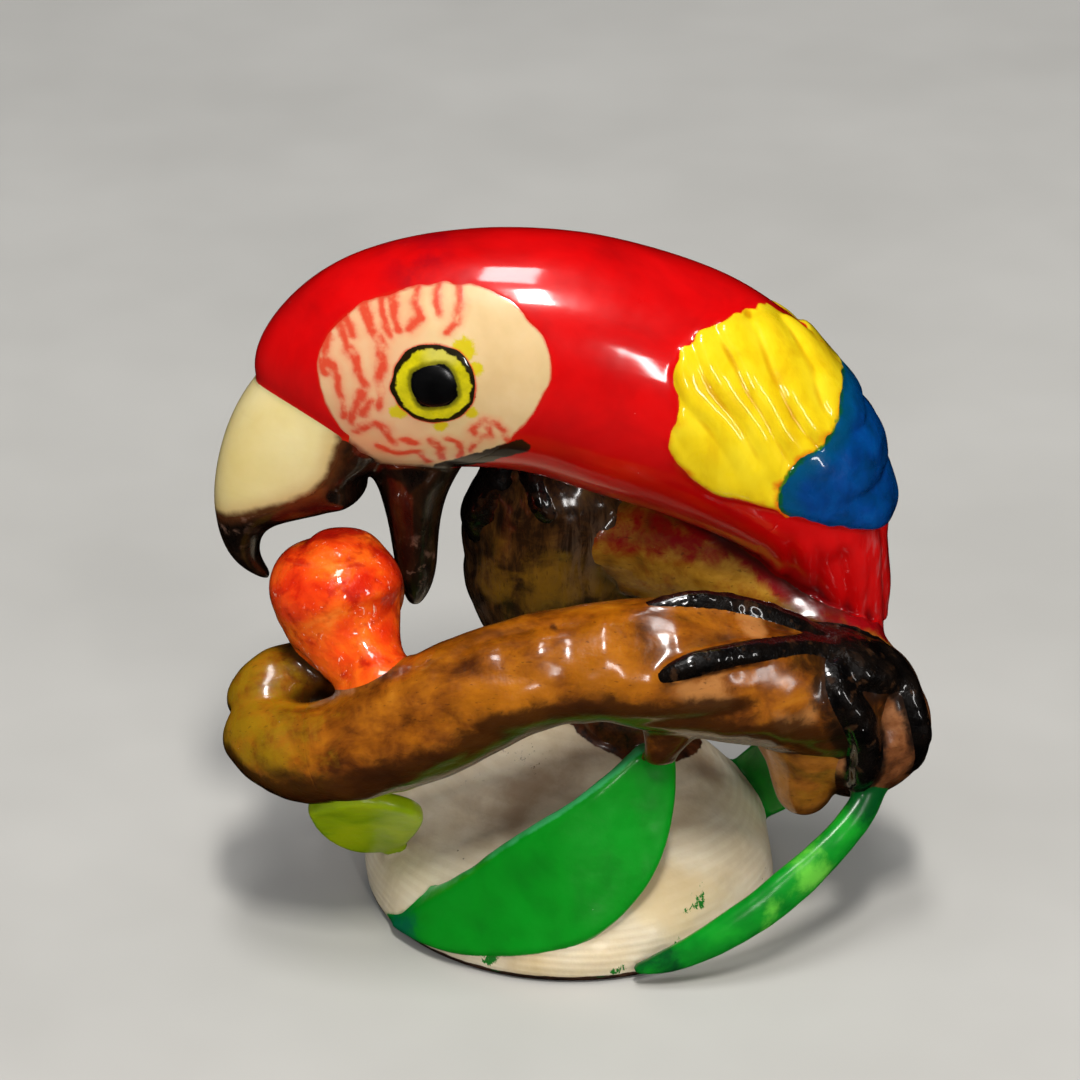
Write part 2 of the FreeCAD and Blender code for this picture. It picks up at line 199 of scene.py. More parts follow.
def noise(points, size, seed=0):
    """Smooth noise from -1 to 1 with lumps about that size."""
    p = points / size + seed * 5.7      # each seed starts from another part of the lattice
    cell = np.floor(p).astype(np.int32)
    f = p - cell
    f = f * f * (3 - 2 * f)
    total = np.zeros(len(p), np.float32)
    for corner in np.ndindex(2, 2, 2):
        weight = np.prod([f[:, a] if corner[a] else 1 - f[:, a] for a in range(3)], axis=0)
        index = tuple((cell[:, a] + corner[a]) & 31 for a in range(3))
        total += weight * LATTICE[index]
    return total


# --------------------------------------------------------------------------------------- carved relief

COVERT_SPACING, COVERT_RIDGE = 1.75, 0.42
TAIL_SPACING, TAIL_GROOVE = 1.8, 0.30
TOOTH, NOTCH = 0.6, 0.7         # the tooth on the cutting edge of the upper beak, and the notch behind it
# Flats pared off the front branch: where, at fractions of its box, then radius and depth
BRANCH_FLATS = [(0.36, 0.25, 0.85, 1.7, 0.40), (0.46, 0.22, 0.90, 2.0, 0.45), (0.58, 0.22, 0.92, 2.4, 0.50),
                (0.68, 0.26, 0.90, 2.0, 0.40)]


def coverts_relief(points):
    """Overlapping barbs that run down and back across the yellow shoulder."""
    x, z = points[:, 0], points[:, 2]
    across = 0.86 * x + 0.50 * z + 0.35 * noise(points, 2.4, 3)
    ridge = np.abs(np.sin(math.pi * across / COVERT_SPACING)) ** 0.7
    low, high = box_mm("wing_coverts_left")
    up_and_back = (z - low[2]) / (high[2] - low[2]) + 0.5 * (x - low[0]) / (high[0] - low[0])
    return COVERT_RIDGE * (ridge - 0.7) * smooth_step(up_and_back, 0.2, 0.9) + 0.06 * noise(points, 1.2, 17)


def primaries_relief(points):
    """Three rows of feather tips, stepped like shingles down the rear edge."""
    x, y, z = points[:, 0], np.abs(points[:, 1]), points[:, 2]
    low, high = box_mm("wing_primaries_left")
    height = (z - low[2]) / (high[2] - low[2]) + 0.018 * y + 0.02 * noise(points, 1.5, 18)
    rows = (0.0, 0.40, 0.78, 1.10)
    relief = np.zeros(len(points))
    for bottom, top in zip(rows[:-1], rows[1:]):
        t = np.clip((height - bottom) / (top - bottom), 0, 1)
        inside = (height >= bottom) & (height < top)
        relief = np.where(inside, np.sqrt(np.clip(1 - (2 * t - 0.85) ** 2 / 1.4, 0, 1)), relief)
    back = smooth_step(x, high[0] - 5.5, high[0] - 1.5)
    return 0.62 * (relief - 0.6) * back + 0.15 * noise(points, 1.6, 9)


def tail_relief(points):
    """Long shallow grooves that start below the wing and run down the tail."""
    across = points[:, 0] + 0.22 * points[:, 2] - 0.45 * np.abs(points[:, 1]) + 0.35 * noise(points, 3.0, 19)
    groove = 1 - np.abs(np.sin(math.pi * across / TAIL_SPACING)) ** 0.7
    top = box_mm("tail")[1][2]
    return (-TAIL_GROOVE * groove + 0.20 * noise(points, 1.9, 4)) * smooth_step(top - points[:, 2], 1.0, 4.0)


def wood_relief(points):
    """Swellings, knife facets, and the flats pared off the top of the front branch."""
    facets = np.abs(noise(points * (0.6, 1, 1), 3.4, 1)) * 0.34 - 0.12
    flats = np.zeros(len(points))
    for fx, fy, fz, radius, depth in BRANCH_FLATS:
        away = np.linalg.norm(points - at("front_branch", fx, fy, fz), axis=1) / radius
        flats = np.maximum(flats, depth * np.exp(-away ** 2))
    return facets + 0.22 * noise(points, 4.6, 20) + 0.09 * noise(points, 1.3, 2) - flats


def claw_relief(points):
    """Wrinkled toes, laid on thin."""
    return 0.14 * np.abs(noise(points, 0.9, 5)) + 0.12 * noise(points, 2.0, 6) - 0.10


def nut_relief(points):
    """Soft undulations of the scraped nut; the flat underside stays flat."""
    lift = smooth_step(points[:, 2], 0.4, 2.0)
    return (0.16 * noise(points, 4.5, 7) + 0.05 * noise(points, 1.6, 8)) * lift


def leaf_relief(points):
    """Thick brushed paint."""
    return 0.07 * noise(points, 2.6, 12) + 0.02 * noise(points, 0.9, 13)


def fruit_relief(points):
    """The fruit is pared with a knife, so it has soft facets."""
    return 0.46 * np.abs(noise(points, 2.8, 14)) - 0.12


def lacquer_relief(points):
    """The faint swell of poured lacquer."""
    return 0.035 * noise(points, 5.0, 15) + 0.012 * noise(points, 1.8, 16)


def beak_edge_relief(points):
    """The blunt tooth half way along the cutting edge, the notch behind it, and brush marks."""
    relief = 0.04 * noise(points, 1.4, 23)
    for height, fx, fz in ((TOOTH, 0.74, 0.57), (-NOTCH, 0.85, 0.63)):
        middle = at("upper_beak_edge", fx, 0.5, fz)
        away = np.hypot(points[:, 0] - middle[0], points[:, 2] - middle[2]) / 0.9
        relief += height * np.exp(-away ** 2)
    return relief


RELIEF = {node: shape for group, shape in (
    (WOOD, wood_relief), (CLAWS, claw_relief), (NUT, nut_relief), (LEAVES, leaf_relief),
    (("fruit",), fruit_relief), (("macaw_body",), lacquer_relief), (("tail",), tail_relief),
    (("upper_beak_edge",), beak_edge_relief),
    (pair("wing_coverts"), coverts_relief), (pair("wing_primaries"), primaries_relief)) for node in group}

# How far each painted edge wanders
RAGGED = {node: depth for depth, group in (
    (0.5, ("stump",)), (0.34, pair("wing_coverts")), (0.28, pair("wing_primaries")), (0.2, ("tail",)),
    (0.15, (*pair("cheek"), "leaf_right", "upper_beak_edge")), (0.1, ("nut_base",))) for node in group}


class Carving:
    """The melted skin with its relief, and which node owns each part of it."""

    def __init__(self):
        self.fields = {node: node_field(node) for node in NODES}
        self.low = np.min([f.low for f in self.fields.values()], axis=0) - 2
        self.high = np.max([f.low + f.values.shape for f in self.fields.values()], axis=0) + 2
        self.melt_groups()
        self.share_out()
        self.add_relief()
        # A blurred copy of the skin finds the hollows that get painted shade
        self.hollow_shade = Field(blurred(self.skin.values, HOLLOW / VOXEL), self.low)

    def union(self, names):
        """The plain union of some nodes."""
        whole = Field(np.full(self.high - self.low, BAND, np.float32), self.low)
        for name in names:
            part = whole.values[self.fields[name].within(whole)]
            np.minimum(part, self.fields[name].values, out=part)
        return whole

    def melt_groups(self):
        """Joins the groups into one skin with soft inner corners."""
        skin = self.union(WOOD)
        for names, width in MELTS:
            other = self.union(names)
            if names in (NUT, BIRD + BEAK):
                other.values -= SEAM_GAP
            skin.values = melt(skin.values, other.values, width)
        self.skin = distance(*polygons(skin), self.low, skin.values.shape)
        self.skin.values = blurred(self.skin.values, SKIN_BLUR)

    def share_out(self):
        """Finds each voxel's owner, which is the nearest node, and how far off it and the next one are."""
        shape = self.skin.values.shape
        self.nearest = np.full(shape, BAND, np.float32)
        self.second = np.full(shape, BAND, np.float32)
        self.owner = np.zeros(shape, np.uint8)
        for number, node in enumerate(NODES, 1):
            field = self.fields[node]
            cut = field.within(self.skin)
            reach = field.values.copy()
            if node in RAGGED:
                near = np.nonzero(np.abs(self.skin.values[cut]) < RAG_DEPTH)
                places = (np.stack(near, 1) + field.low) * VOXEL
                reach[near] += RAGGED[node] * noise(places, RAG_SIZE, number)
            field.reach = reach
            first, next_one, own = self.nearest[cut], self.second[cut], self.owner[cut]
            closer = reach < first
            next_one[...] = np.where(closer, first, np.minimum(next_one, reach))
            own[closer] = number
            first[closer] = reach[closer]

    def add_relief(self):
        """Raises or lowers the skin by the relief of each voxel's owner."""
        shell = np.nonzero(np.abs(self.skin.values) < SHELL)
        places = (np.stack(shell, 1) + self.low) * VOXEL
        keeper = self.owner[shell]
        height = np.zeros(len(places), np.float32)
        for number, node in enumerate(NODES, 1):
            if node in RELIEF:
                mine = keeper == number
                height[mine] = RELIEF[node](places[mine])
        self.skin.values[shell] -= height
        self.skin.values = blurred(self.skin.values, RELIEF_BLUR)


def main_part(points, quads):
    """Only the largest connected part of a mesh."""
    label = np.arange(len(points))
    while True:
        lowest = label[quads].min(1)
        new = label.copy()
        for corner in range(4):
            np.minimum.at(new, quads[:, corner], lowest)
        new = new[new]
        if (new == label).all():
            break
        label = new
    labels, counts = np.unique(label, return_counts=True)
    keep = label == labels[counts.argmax()]
    index = np.cumsum(keep) - 1
    return points[keep], index[quads[keep[quads[:, 0]]]]


class Piece:
    """One node's finished mesh, with measures at its vertices for the materials."""

    def __init__(self, number, node, carving):
        self.node, self.fields = node, carving.fields
        field = carving.fields[node]
        cut = field.within(carving.skin)
        rival = np.where(carving.owner[cut] == number, carving.second[cut], carving.nearest[cut])
        claim = field.reach - rival
        past = np.maximum(claim, 0)
        values = carving.skin.values[cut] + DIVE_GENTLE * past + DIVE_STEEP * np.maximum(past - DIVE_EDGE, 0)
        values = np.maximum(values, field.values - OVERHANG)
        points, _, quads = polygons(Field(values, field.low))
        points, quads = main_part(points.astype(float), quads.astype(np.int64))
        points[:, 2] = np.maximum(points[:, 2], 0.0)        # nothing goes below the flat underside
        self.points = points
        self.mesh = bpy.data.meshes.new(node + "_look")
        self.mesh.from_pydata((points / MM).tolist(), [], quads.tolist())
        self.mesh.polygons.foreach_set("use_smooth", np.ones(len(self.mesh.polygons), bool))
        self.mesh.update()
        self.measure("seam", -Field(claim, field.low).at(points))
        self.measure("hollow_shade", -carving.hollow_shade.at(points))

    def measure(self, name, values):
        """Stores a number for each vertex, which a material can read."""
        attribute = self.mesh.attributes.new(name, "FLOAT", "POINT")
        attribute.data.foreach_set("value", np.asarray(values, np.float32))

    def near(self, node):
        """Distance from each vertex to another node."""
        return self.fields[node].at(self.points)

    def spots(self, *places, both_sides=False):
        """1 at each place (node, fractions of its box, radius), falling softly and unevenly to 0 round it."""
        total = np.zeros(len(self.points))
        for node, fx, fy, fz, radius in places:
            drift = np.stack([noise(self.points, radius * 0.7, seed) for seed in (31, 32, 33)], 1)
            for side in (1, -1) if both_sides else (1,):
                centre = at(node, fx, fy, fz) * (1, side, 1)
                away = np.linalg.norm((self.points - centre) / radius + 0.45 * drift, axis=1)
                total = np.maximum(total, 1 - smooth_step(away, 0.0, 1.1))
        return total

    def mark(self, name, *places, both_sides=False):
        self.measure(name, self.spots(*places, both_sides=both_sides))

    def height(self):
        """0 at the bottom of the node's box and 1 at its top."""
        low, high = box_mm(self.node)
        return (self.points[:, 2] - low[2]) / (high[2] - low[2])

    def facing_up(self):
        """1 where the surface faces up and -1 where it faces down."""
        normals = np.empty(len(self.points) * 3, np.float32)
        self.mesh.vertices.foreach_get("normal", normals)
        return normals.reshape(-1, 3)[:, 2]


# --------------------------------------------------------------------------------- node-based finishes

def rgb(red, green, blue):
    """A linear colour from the usual 0-255 values."""
    parts = (c / 255 for c in (red, green, blue))
    return (*(c / 12.92 if c < 0.04 else ((c + 0.055) / 1.055) ** 2.4 for c in parts), 1)


class Finish:
    """A Principled material and short ways to build its node tree.

    Texture coordinates are in millimetres. Settings are named like the shader's sockets, as in coat_weight.
    Paints are red, green and blue from 0 to 255.
    """

    def __init__(self, name, **shader):
        self.material = bpy.data.materials.new(name)
        self.material.use_nodes = True
        self.tree = self.material.node_tree
        self.shader = self.tree.nodes["Principled BSDF"]
        for socket, value in shader.items():
            self.shader.inputs[socket.replace("_", " ").title().replace("Ior", "IOR")].default_value = value
        place = self.add("ShaderNodeTexCoord").outputs["Object"]
        self.place = self.add("ShaderNodeVectorMath", {0: place, "Scale": MM}, operation="SCALE").outputs[0]

    def add(self, kind, inputs=None, **settings):
        node = self.tree.nodes.new(kind)
        for name, value in settings.items():
            setattr(node, name, value)
        for socket, value in (inputs or {}).items():
            self.put(node.inputs[socket], value)
        return node

    def put(self, socket, value):
        if isinstance(value, bpy.types.NodeSocket):
            self.tree.links.new(value, socket)
        else:
            socket.default_value = value

    def set(self, socket, value):
        self.put(self.shader.inputs[socket], value)

    def measure(self, name):
        return self.add("ShaderNodeAttribute", attribute_name=name).outputs["Fac"]

    def noise(self, size, detail=3.0, rough=0.55, warp=0.0, stretch=(1, 1, 1), shift=0.0):
        """Cloudy noise, about 0 to 1, with lumps of that size."""
        scale = tuple(1 / (size * s) for s in stretch)
        place = self.add("ShaderNodeMapping", {"Vector": self.place, "Scale": scale,
                                               "Location": (shift, shift * 1.7, shift * 0.6)}).outputs[0]
        return self.add("ShaderNodeTexNoise", {
            "Vector": place, "Scale": 1.0, "Detail": detail, "Roughness": rough,
            "Distortion": warp}).outputs["Fac"]

    def cells(self, size, feature="F1"):
        return self.add("ShaderNodeTexVoronoi", {"Vector": self.place, "Scale": 1 / size},
                        feature=feature).outputs["Distance"]

    def times(self, a, b):
        return self.add("ShaderNodeMath", {0: a, 1: b}, operation="MULTIPLY").outputs[0]

    def plus(self, a, b, c):
        """a + b * c"""
        return self.add("ShaderNodeMath", {0: c, 1: b, 2: a}, operation="MULTIPLY_ADD").outputs[0]

    def ragged(self, measure, spread, noise):
        """A measure with some noise added, so that an edge made from it wanders."""
        return self.plus(self.measure(measure), spread, noise)

    def step(self, value, low, high):
        """0 below low and 1 above high, with a soft step between. Low may be above high."""
        return self.add("ShaderNodeMapRange", {"Value": value, "From Min": low, "From Max": high},
                        interpolation_type="SMOOTHSTEP").outputs["Result"]

    def where(self, measure, spread, noise, low, high):
        """0 to 1 as a measure goes from low to high, over an edge that the noise makes ragged."""
        return self.step(self.ragged(measure, spread, noise), low, high)

    def tint(self, paint, amount, strength=1.0):
        """Lays a paint, or a colour made by nodes, over the colour so far, by amount times strength."""
        amount = amount if strength == 1.0 else self.times(amount, strength)
        paint = paint if isinstance(paint, bpy.types.NodeSocket) else rgb(*paint)
        node = self.add("ShaderNodeMix", data_type="RGBA")
        for socket, value in ((0, amount), (6, self.colour), (7, paint)):
            self.put(node.inputs[socket], value)
        self.colour = node.outputs[2]

    def range(self, factor, low, high):
        """A number that goes from low to high with the factor."""
        inputs = {"Value": factor, "To Min": low, "To Max": high}
        return self.add("ShaderNodeMapRange", inputs).outputs["Result"]

    def ramp(self, factor, *stops):
        """A colour that follows the factor through stops (factor, paint)."""
        node = self.add("ShaderNodeValToRGB", {"Fac": factor})
        elements = node.color_ramp.elements
        while len(elements) < len(stops):
            elements.new(0.5)
        for element, (place, paint) in zip(elements, stops):
            element.position, element.color = place, rgb(*paint)
        return node.outputs["Color"]

    def bump(self, height, depth, normal=None):
        """A bump whose height from 0 to 1 is that depth in millimetres."""
        inputs = {"Height": height, "Distance": depth / MM, "Strength": 1.0}
        if normal is not None:
            inputs["Normal"] = normal
        return self.add("ShaderNodeBump", inputs).outputs["Normal"]

    def dust_and_glints(self, amount):
        """Tiny pale specks: dust caught in the varnish, and painted glints."""
        specks = self.step(self.cells(0.9), 0.045, 0.02)
        chosen = self.step(self.noise(5.0, 1), 0.56, 0.62)
        self.tint((235, 235, 235), self.times(specks, chosen), amount)

    def finished(self, roughness, normal):
        """Joins up the shader; roughness is a noise and the two values that it runs between."""
        self.set("Base Color", self.colour)
        self.set("Roughness", self.range(*roughness))
        self.set("Normal", normal)
        return self


def lacquer(name, coat_roughness, coat_weight=1.0, **shader):
    """Paint or stain under clear varnish: the varnish gives the sharp reflections."""
    return Finish(name, specular_ior_level=0.12, coat_weight=coat_weight, coat_roughness=coat_roughness,
                  **shader)


def nut_flesh(name, coat_weight, coat_roughness, reach):
    """Bare vegetable ivory, which light enters a little: red light the furthest."""
    return Finish(name, specular_ior_level=0.25, coat_weight=coat_weight, coat_roughness=coat_roughness,
                  subsurface_weight=0.22, subsurface_scale=0.0012, subsurface_radius=reach)


def throat_stroke(f):
    """The dark brush stroke where the bare cheek meets the throat."""
    f.tint((16, 9, 7), f.where("throat", 0.55, f.noise(0.8, 3, 0.6), 0.42, 0.24))


def red_lacquer():
    f = lacquer("red_lacquer", 0.09)
    f.colour = f.ramp(f.noise(7.0, 4, 0.6, 0.4), (0.30, (182, 0, 2)), (0.55, (212, 0, 2)),
                      (0.75, (224, 2, 3)))
    smudge = f.times(f.measure("smudge"), f.step(f.noise(1.8, 4), 0.35, 0.65))
    f.tint((128, 0, 20), smudge, 0.7)
    # painted shade: darker red where the surface faces down
    f.tint((146, 0, 2), f.measure("under"), 0.6)
    # painted shade: darker red in the hollows
    f.tint((120, 0, 4), f.step(f.measure("hollow_shade"), 0.05, 0.35))
    f.tint((196, 30, 10), f.where("edge", -0.12, f.noise(0.5, 2), 0.12, -0.02), 0.5)
    # painted sheen: pinkish streaks on the back edge of the tail stand in for reflected light
    streak = f.noise(0.6, 4, 0.55, 0.2, stretch=(1, 1, 5))
    f.tint((196, 96, 96), f.step(streak, 0.54, 0.68), f.measure("tail_sheen"))
    throat_stroke(f)
    brush = f.noise(1.1, 4, 0.5, 0.3, stretch=(2.6, 1, 1))
    f.dust_and_glints(0.5)
    return f.finished((f.noise(2.5, 4), 0.22, 0.42), f.bump(brush, 0.012, f.bump(f.noise(3.2, 2), 0.05)))


def cheek_nut():
    f = nut_flesh("cheek_nut", 0.8, 0.10, (1.0, 0.55, 0.28))
    f.colour = f.ramp(f.noise(5.0, 4, 0.55, 0.2), (0.3, (214, 180, 126)), (0.55, (226, 194, 142)),
                      (0.75, (232, 204, 156)))
    veil = f.noise(1.5, 4, 0.6)
    f.tint((234, 166, 128), f.step(f.measure("blush"), 0.1, 0.9), f.range(veil, 0.25, 0.65))
    blot = f.noise(0.6, 3, 0.5, 0.2)
    stroke = f.ragged("stroke", 0.40, blot)
    ink = f.times(f.step(stroke, 0.40, 0.04), f.step(f.noise(1.3, 3, 0.55), 0.24, 0.52))
    f.tint((232, 130, 92), f.step(stroke, 0.80, 0.2), 0.35)
    f.tint((218, 58, 28), ink, 0.92)
    f.tint((212, 190, 18), f.where("smear", -0.9, f.noise(0.45, 4, 0.65), -0.02, 0.30))
    f.tint((40, 32, 8), f.where("eye", 0.62, f.noise(0.7, 4, 0.6), 3.02, 2.90))
    f.tint((62, 26, 12), f.where("brown", 0.5, f.noise(0.8, 3), 0.95, 0.25))
    red = f.ragged("seam", 0.16, f.noise(0.6, 3))
    red = f.times(f.step(red, 0.26, 0.06), f.step(f.measure("brown"), 0.6, 1.2))
    f.tint((214, 62, 34), red, 0.9)
    throat_stroke(f)
    return f.finished(
        (f.noise(1.5, 4), 0.28, 0.45),
        f.bump(f.noise(2.4, 3), 0.03, f.bump(f.step(stroke, 0.34, 0.05), 0.015)))


def eye_yellow():
    f = lacquer("eye_yellow", 0.05)
    radius = f.ragged("eye", 0.55, f.noise(0.6, 4, 0.6))
    square = f.ragged("square", 0.4, f.noise(0.7, 3))
    f.colour = f.ramp(f.noise(0.9, 3), (0.3, (176, 166, 8)), (0.7, (220, 206, 16)))
    f.tint((204, 194, 96), f.measure("sheen_arc"), 0.7)
    f.tint((96, 92, 10), f.step(square, 2.05, 1.75), 0.85)
    f.tint((30, 24, 6), f.step(radius, 2.60, 2.74))
    f.tint((6, 6, 6), f.step(square, 1.74, 1.62))
    return f.finished(
        (f.noise(0.8, 3), 0.2, 0.4), f.bump(f.noise(0.7, 3), 0.02, f.bump(f.step(radius, 2.55, 2.75), 0.03)))


def pupil_black():
    f = lacquer("pupil_black", 0.25)
    f.colour = f.ramp(f.noise(0.8, 4), (0.35, (3, 3, 4)), (0.7, (10, 10, 11)))
    return f.finished((f.noise(0.5, 3), 0.25, 0.5), f.bump(f.noise(0.5, 3), 0.015))


def beak_nut():
    f = nut_flesh("beak_nut", 0.8, 0.12, (1.0, 0.7, 0.35))
    f.colour = f.ramp(f.noise(4.5, 4, 0.55, 0.3), (0.3, (226, 206, 140)), (0.6, (234, 217, 158)),
                      (0.8, (238, 225, 174)))
    f.tint((224, 196, 108), f.measure("front"), 0.6)
    fibre = f.noise(0.5, 2, 0.5, 0, (9, 9, 1))
    f.tint((205, 176, 120), f.step(fibre, 0.55, 0.75), 0.10)
    edge = f.ragged("dark_edge", 0.65, f.noise(1.1, 4))
    f.tint((182, 132, 68), f.step(edge, 2.2, 0.3), 0.5)
    f.tint((84, 46, 18), f.step(edge, 0.95, 0.36))
    return f.finished((f.noise(1.8, 4), 0.26, 0.42), f.bump(f.noise(2.0, 3), 0.03))


def beak_dark():
    f = lacquer("beak_dark", 0.12)
    streak = f.noise(0.9, 5, 0.65, 0.5, stretch=(1, 1, 2.6))
    f.colour = f.ramp(streak, (0.30, (10, 7, 5)), (0.52, (24, 15, 9)), (0.70, (48, 30, 16)),
                      (0.86, (92, 62, 38)))
    f.tint((84, 44, 18), f.where("nut", 0.7, f.noise(0.8, 3), 1.15, 0.25))
    # painted sheen: a pinkish-grey reflection on the dark beak
    sheen_patch = f.times(f.step(f.noise(1.0, 4, 0.6), 0.52, 0.66), f.measure("beak_sheen"))
    f.tint((132, 98, 82), sheen_patch)
    f.dust_and_glints(0.9)
    return f.finished((f.noise(0.9, 4), 0.22, 0.5), f.bump(streak, 0.07, f.bump(f.noise(0.35, 3), 0.02)))


def yellow_lacquer():
    f = lacquer("yellow_lacquer", 0.05)
    f.colour = f.ramp(f.noise(2.2, 4, 0.55, 0.4, (1, 1, 1.6)), (0.3, (222, 180, 6)), (0.5, (238, 205, 16)),
                      (0.75, (246, 218, 34)))
    # painted shade: deeper amber in the hollows between the barbs
    f.tint((206, 150, 0), f.step(f.measure("hollow_shade"), 0.02, 0.14))
    f.tint((226, 96, 0), f.where("seam", 0.7, f.noise(0.7, 4, 0.6), 0.85, 0.25), f.measure("thin"))
    f.tint((222, 90, 2), f.where("seam", 0.3, f.noise(0.5, 4, 0.6), 0.26, 0.10), 0.8)
    f.tint((56, 118, 20), f.where("blue", 0.5, f.noise(0.6, 4), 0.45, 0.24))
    brush = f.noise(0.5, 3, 0.5, 0.2, stretch=(1, 1, 3.5))
    return f.finished((f.noise(1.5, 4), 0.2, 0.4), f.bump(brush, 0.03, f.bump(f.noise(1.8, 2), 0.06)))


def blue_lacquer():
    f = lacquer("blue_lacquer", 0.05)
    f.colour = f.ramp(f.noise(2.0, 4, 0.6, 0.5), (0.3, (0, 26, 84)), (0.55, (0, 52, 128)),
                      (0.8, (0, 76, 152)))
    teal = f.ragged("yellow", 0.9, f.noise(1.2, 4))
    f.tint((0, 84, 104), f.step(teal, 2.8, 0.8), 0.6)
    f.tint((14, 84, 40), f.step(teal, 0.72, 0.46))
    # painted shade: darker blue in the hollows
    f.tint((0, 14, 54), f.step(f.measure("hollow_shade"), 0.05, 0.22))
    return f.finished((f.noise(1.2, 4), 0.18, 0.36), f.bump(f.noise(0.9, 3), 0.06))


def fruit_orange():
    f = lacquer("fruit_orange", 0.05, subsurface_weight=0.12, subsurface_scale=0.001,
                subsurface_radius=(1.0, 0.4, 0.2))
    f.colour = f.ramp(f.noise(2.8, 4, 0.55, 0.5), (0.30, (208, 34, 6)), (0.45, (236, 66, 14)),
                      (0.60, (250, 104, 22)), (0.78, (255, 146, 52)))
    stem = f.ramp(f.noise(1.2, 3), (0.3, (236, 72, 12)), (0.7, (250, 122, 22)))
    f.tint(stem, f.measure("stem"), 0.8)
    ridge = f.plus(f.cells(3.4, "DISTANCE_TO_EDGE"), 0.5, f.noise(0.9, 4, 0.6))
    cut = f.times(f.step(ridge, 0.40, 0.24), f.step(f.noise(1.7, 3, shift=5.0), 0.42, 0.60))
    f.tint((176, 18, 6), cut, 0.8)
    f.tint((178, 18, 8), f.where("crown", 0.7, f.noise(1.0, 4), 0.55, 0.95), 0.85)
    # painted glints: pale peach specks standing in for highlights
    fruit_glints = f.step(f.noise(0.42, 4, 0.7, 1.2, stretch=(1, 1, 1.8)), 0.62, 0.69)
    f.tint((255, 196, 168), fruit_glints, f.step(f.noise(2.2, 2, shift=3.0), 0.42, 0.56))
    return f.finished(
        (f.noise(1.1, 4), 0.18, 0.42), f.bump(f.noise(0.8, 4), 0.13, f.bump(f.noise(1.9, 2), 0.20)))


def stained_wood(name, dark, mid, light, pale, **marks):
    """Brown water stain under varnish, with painted shade darkening the hollows.

    The marks are paints and strengths for named measures.
    """
    f = lacquer(name, 0.16, subsurface_weight=0.05, subsurface_scale=0.0008)
    cloud = f.noise(3.6, 5, 0.58, 0.6)
    streak = f.noise(0.85, 5, 0.62, 0.3, stretch=(3.5, 1.4, 1.4))
    tone = f.plus(f.times(cloud, 0.66), 0.36, streak)
    f.colour = f.ramp(tone, (0.37, dark), (0.49, mid), (0.59, light), (0.75, pale))
    for mark, (paint, strength) in marks.items():
        f.tint(paint, f.where(mark, 1.1, f.noise(1.4, 5, 0.65, 0.4), 0.88, 1.40), strength)
    # painted shade: dark brown in the hollows
    f.tint((36, 15, 4), f.step(f.measure("hollow_shade"), 0.04, 0.36), 0.85)
    pores = f.step(f.noise(0.20, 2, 0.5, stretch=(3, 1, 1)), 0.64, 0.74)
    f.tint((44, 20, 6), pores, 0.45)
    knife = f.noise(0.55, 3, 0.5, 0.2, stretch=(5, 1.2, 1.2))
    f.dust_and_glints(0.6)
    return f.finished((f.noise(1.6, 4), 0.22, 0.5), f.bump(knife, 0.05, f.bump(f.noise(1.3, 3), 0.13)))


def stained_branch():
    return stained_wood("stained_branch", (74, 33, 3), (132, 70, 6), (164, 94, 10), (192, 122, 24),
                        # painted light: a golden glow on the front top of the branch
                        olive=((146, 112, 6), 0.85), glow=((184, 108, 6), 0.5), bare=((180, 120, 62), 0.85),
                        # painted shade: dark brown on the undersides
                        under=((52, 23, 3), 0.9), cut=((170, 112, 74), 0.9), knot=((24, 12, 5), 0.92))


def perch_wood():
    return stained_wood("perch_wood", (96, 56, 10), (158, 106, 22), (192, 140, 42), (212, 166, 70),
                        # the red smears are real paint; the dark brown is painted shade on the lower side
                        smear=((146, 2, 10), 1.0), under=((58, 32, 8), 0.85))


def burl_wood():
    return stained_wood("burl_wood", (66, 34, 16), (118, 68, 34), (150, 96, 56), (168, 116, 76),
                        # painted shade: dark brown on the lower side of the burl
                        knot=((16, 10, 7), 0.95), under=((54, 27, 10), 0.8))


def twig_wood():
    return stained_wood("twig_wood", (84, 42, 8), (136, 80, 18), (160, 98, 26), (176, 116, 42),
                        knot=((52, 25, 7), 0.8))


def stained_stump():
    f = lacquer("stained_stump", 0.14)
    cloud = f.noise(2.6, 5, 0.66, 1.0)
    streak = f.noise(0.55, 5, 0.65, 0.5, stretch=(1, 1, 5))
    tone = f.plus(f.times(cloud, 0.6), 0.45, streak)
    f.colour = f.ramp(tone, (0.34, (16, 9, 4)), (0.48, (44, 26, 10)), (0.60, (88, 56, 20)),
                      (0.74, (128, 88, 32)))
    f.tint((140, 98, 18), f.where("ochre", 1.2, f.noise(1.6, 5, 0.65, 0.5), 0.95, 1.6), 0.8)
    # painted sheen: grey streaks where the rounded front of the stump catches the light
    grey_sheen = f.times(f.measure("grey_sheen"), f.step(streak, 0.38, 0.62))
    f.tint((112, 92, 74), grey_sheen, 0.8)
    grain = f.step(f.noise(0.22, 4, 0.7, stretch=(1, 1, 4)), 0.58, 0.70)
    f.tint((14, 8, 4), grain, 0.65)
    # painted shade: near black in the hollows
    f.tint((12, 7, 4), f.step(f.measure("hollow_shade"), 0.05, 0.4), 0.8)
    bark = f.ramp(f.noise(0.8, 4, 0.7), (0.35, (34, 15, 6)), (0.65, (96, 46, 14)))
    f.tint(bark, f.where("foot", 0.3, f.noise(0.9, 4), 0.5, 0.8))
    f.dust_and_glints(0.9)
    return f.finished((f.noise(0.7, 4), 0.25, 0.6), f.bump(streak, 0.12, f.bump(f.noise(0.35, 3), 0.05)))


